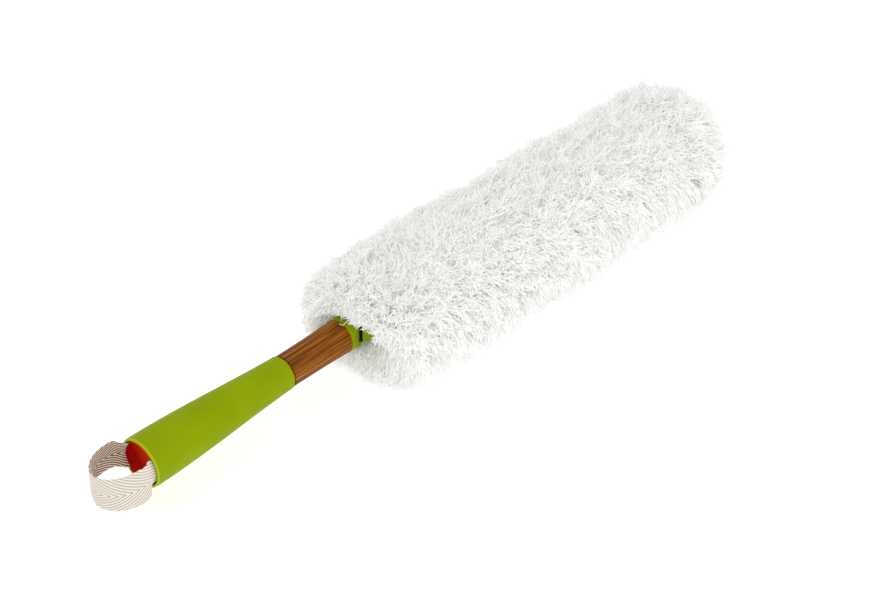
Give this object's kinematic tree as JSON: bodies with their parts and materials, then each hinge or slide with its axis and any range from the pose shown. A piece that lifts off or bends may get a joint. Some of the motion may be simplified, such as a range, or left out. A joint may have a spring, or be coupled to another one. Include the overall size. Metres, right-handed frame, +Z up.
{
  "type": "hand duster",
  "caption": "Hand duster with a tapered bamboo handle, green grip, tape hanging loop, swinging paddle and slide-off shaggy white yarn cover.",
  "frame": {"origin": "middle of the flat underside of the yarn pile, on which the duster rests", "axes": "+X along the handle from the hanging loop to the tip of the duster, +Z up, +Y to the left when looking along +X"},
  "size_m": [0.6432, 0.1254, 0.0978],
  "materials": {
    "bamboo": "satin carbonised bamboo",
    "green_plastic": "satin",
    "orange_plastic": "semi gloss",
    "cotton_tape": "herringbone weave",
    "steel": "plain",
    "white_plastic": "matt",
    "black_nylon": "matt",
    "white_fabric": "woven backing",
    "white_yarn": "shaggy yarn pile"
  },
  "bodies": {
    "handle": {"bamboo_handle": "bamboo", "grip_sleeve": "green_plastic", "butt_plug": "orange_plastic", "hang_loop": "cotton_tape", "loop_pin": "steel", "collar": "green_plastic", "collar_dowel": "steel", "pivot_pin": "steel", "pin_clip": "steel", "friction_shoe": "white_plastic", "friction_spring": "steel"},
    "head": {"knuckle": "black_nylon", "knuckle_screws": "steel", "paddle": "green_plastic", "paddle_back": "green_plastic", "paddle_screws": "steel", "stiffener_wire": "steel"},
    "cover": {"sleeve_top": "white_fabric", "sleeve_bottom": "white_fabric", "seam_binding": "white_fabric", "mouth_elastic": "white_fabric", "pile_top": "white_yarn", "pile_bottom": "white_yarn"}
  },
  "joints": [
    {"name": "head_swing", "type": "hinge", "parent": "handle", "child": "head", "pos_m": [-0.19, 0, 0.047], "axis": [0, 0, 1], "range_deg": [-20, 20]},
    {"name": "cover_slide", "type": "slide", "parent": "head", "child": "cover", "axis": [1, 0, 0], "range_m": [0, 0.36]}
  ]
}
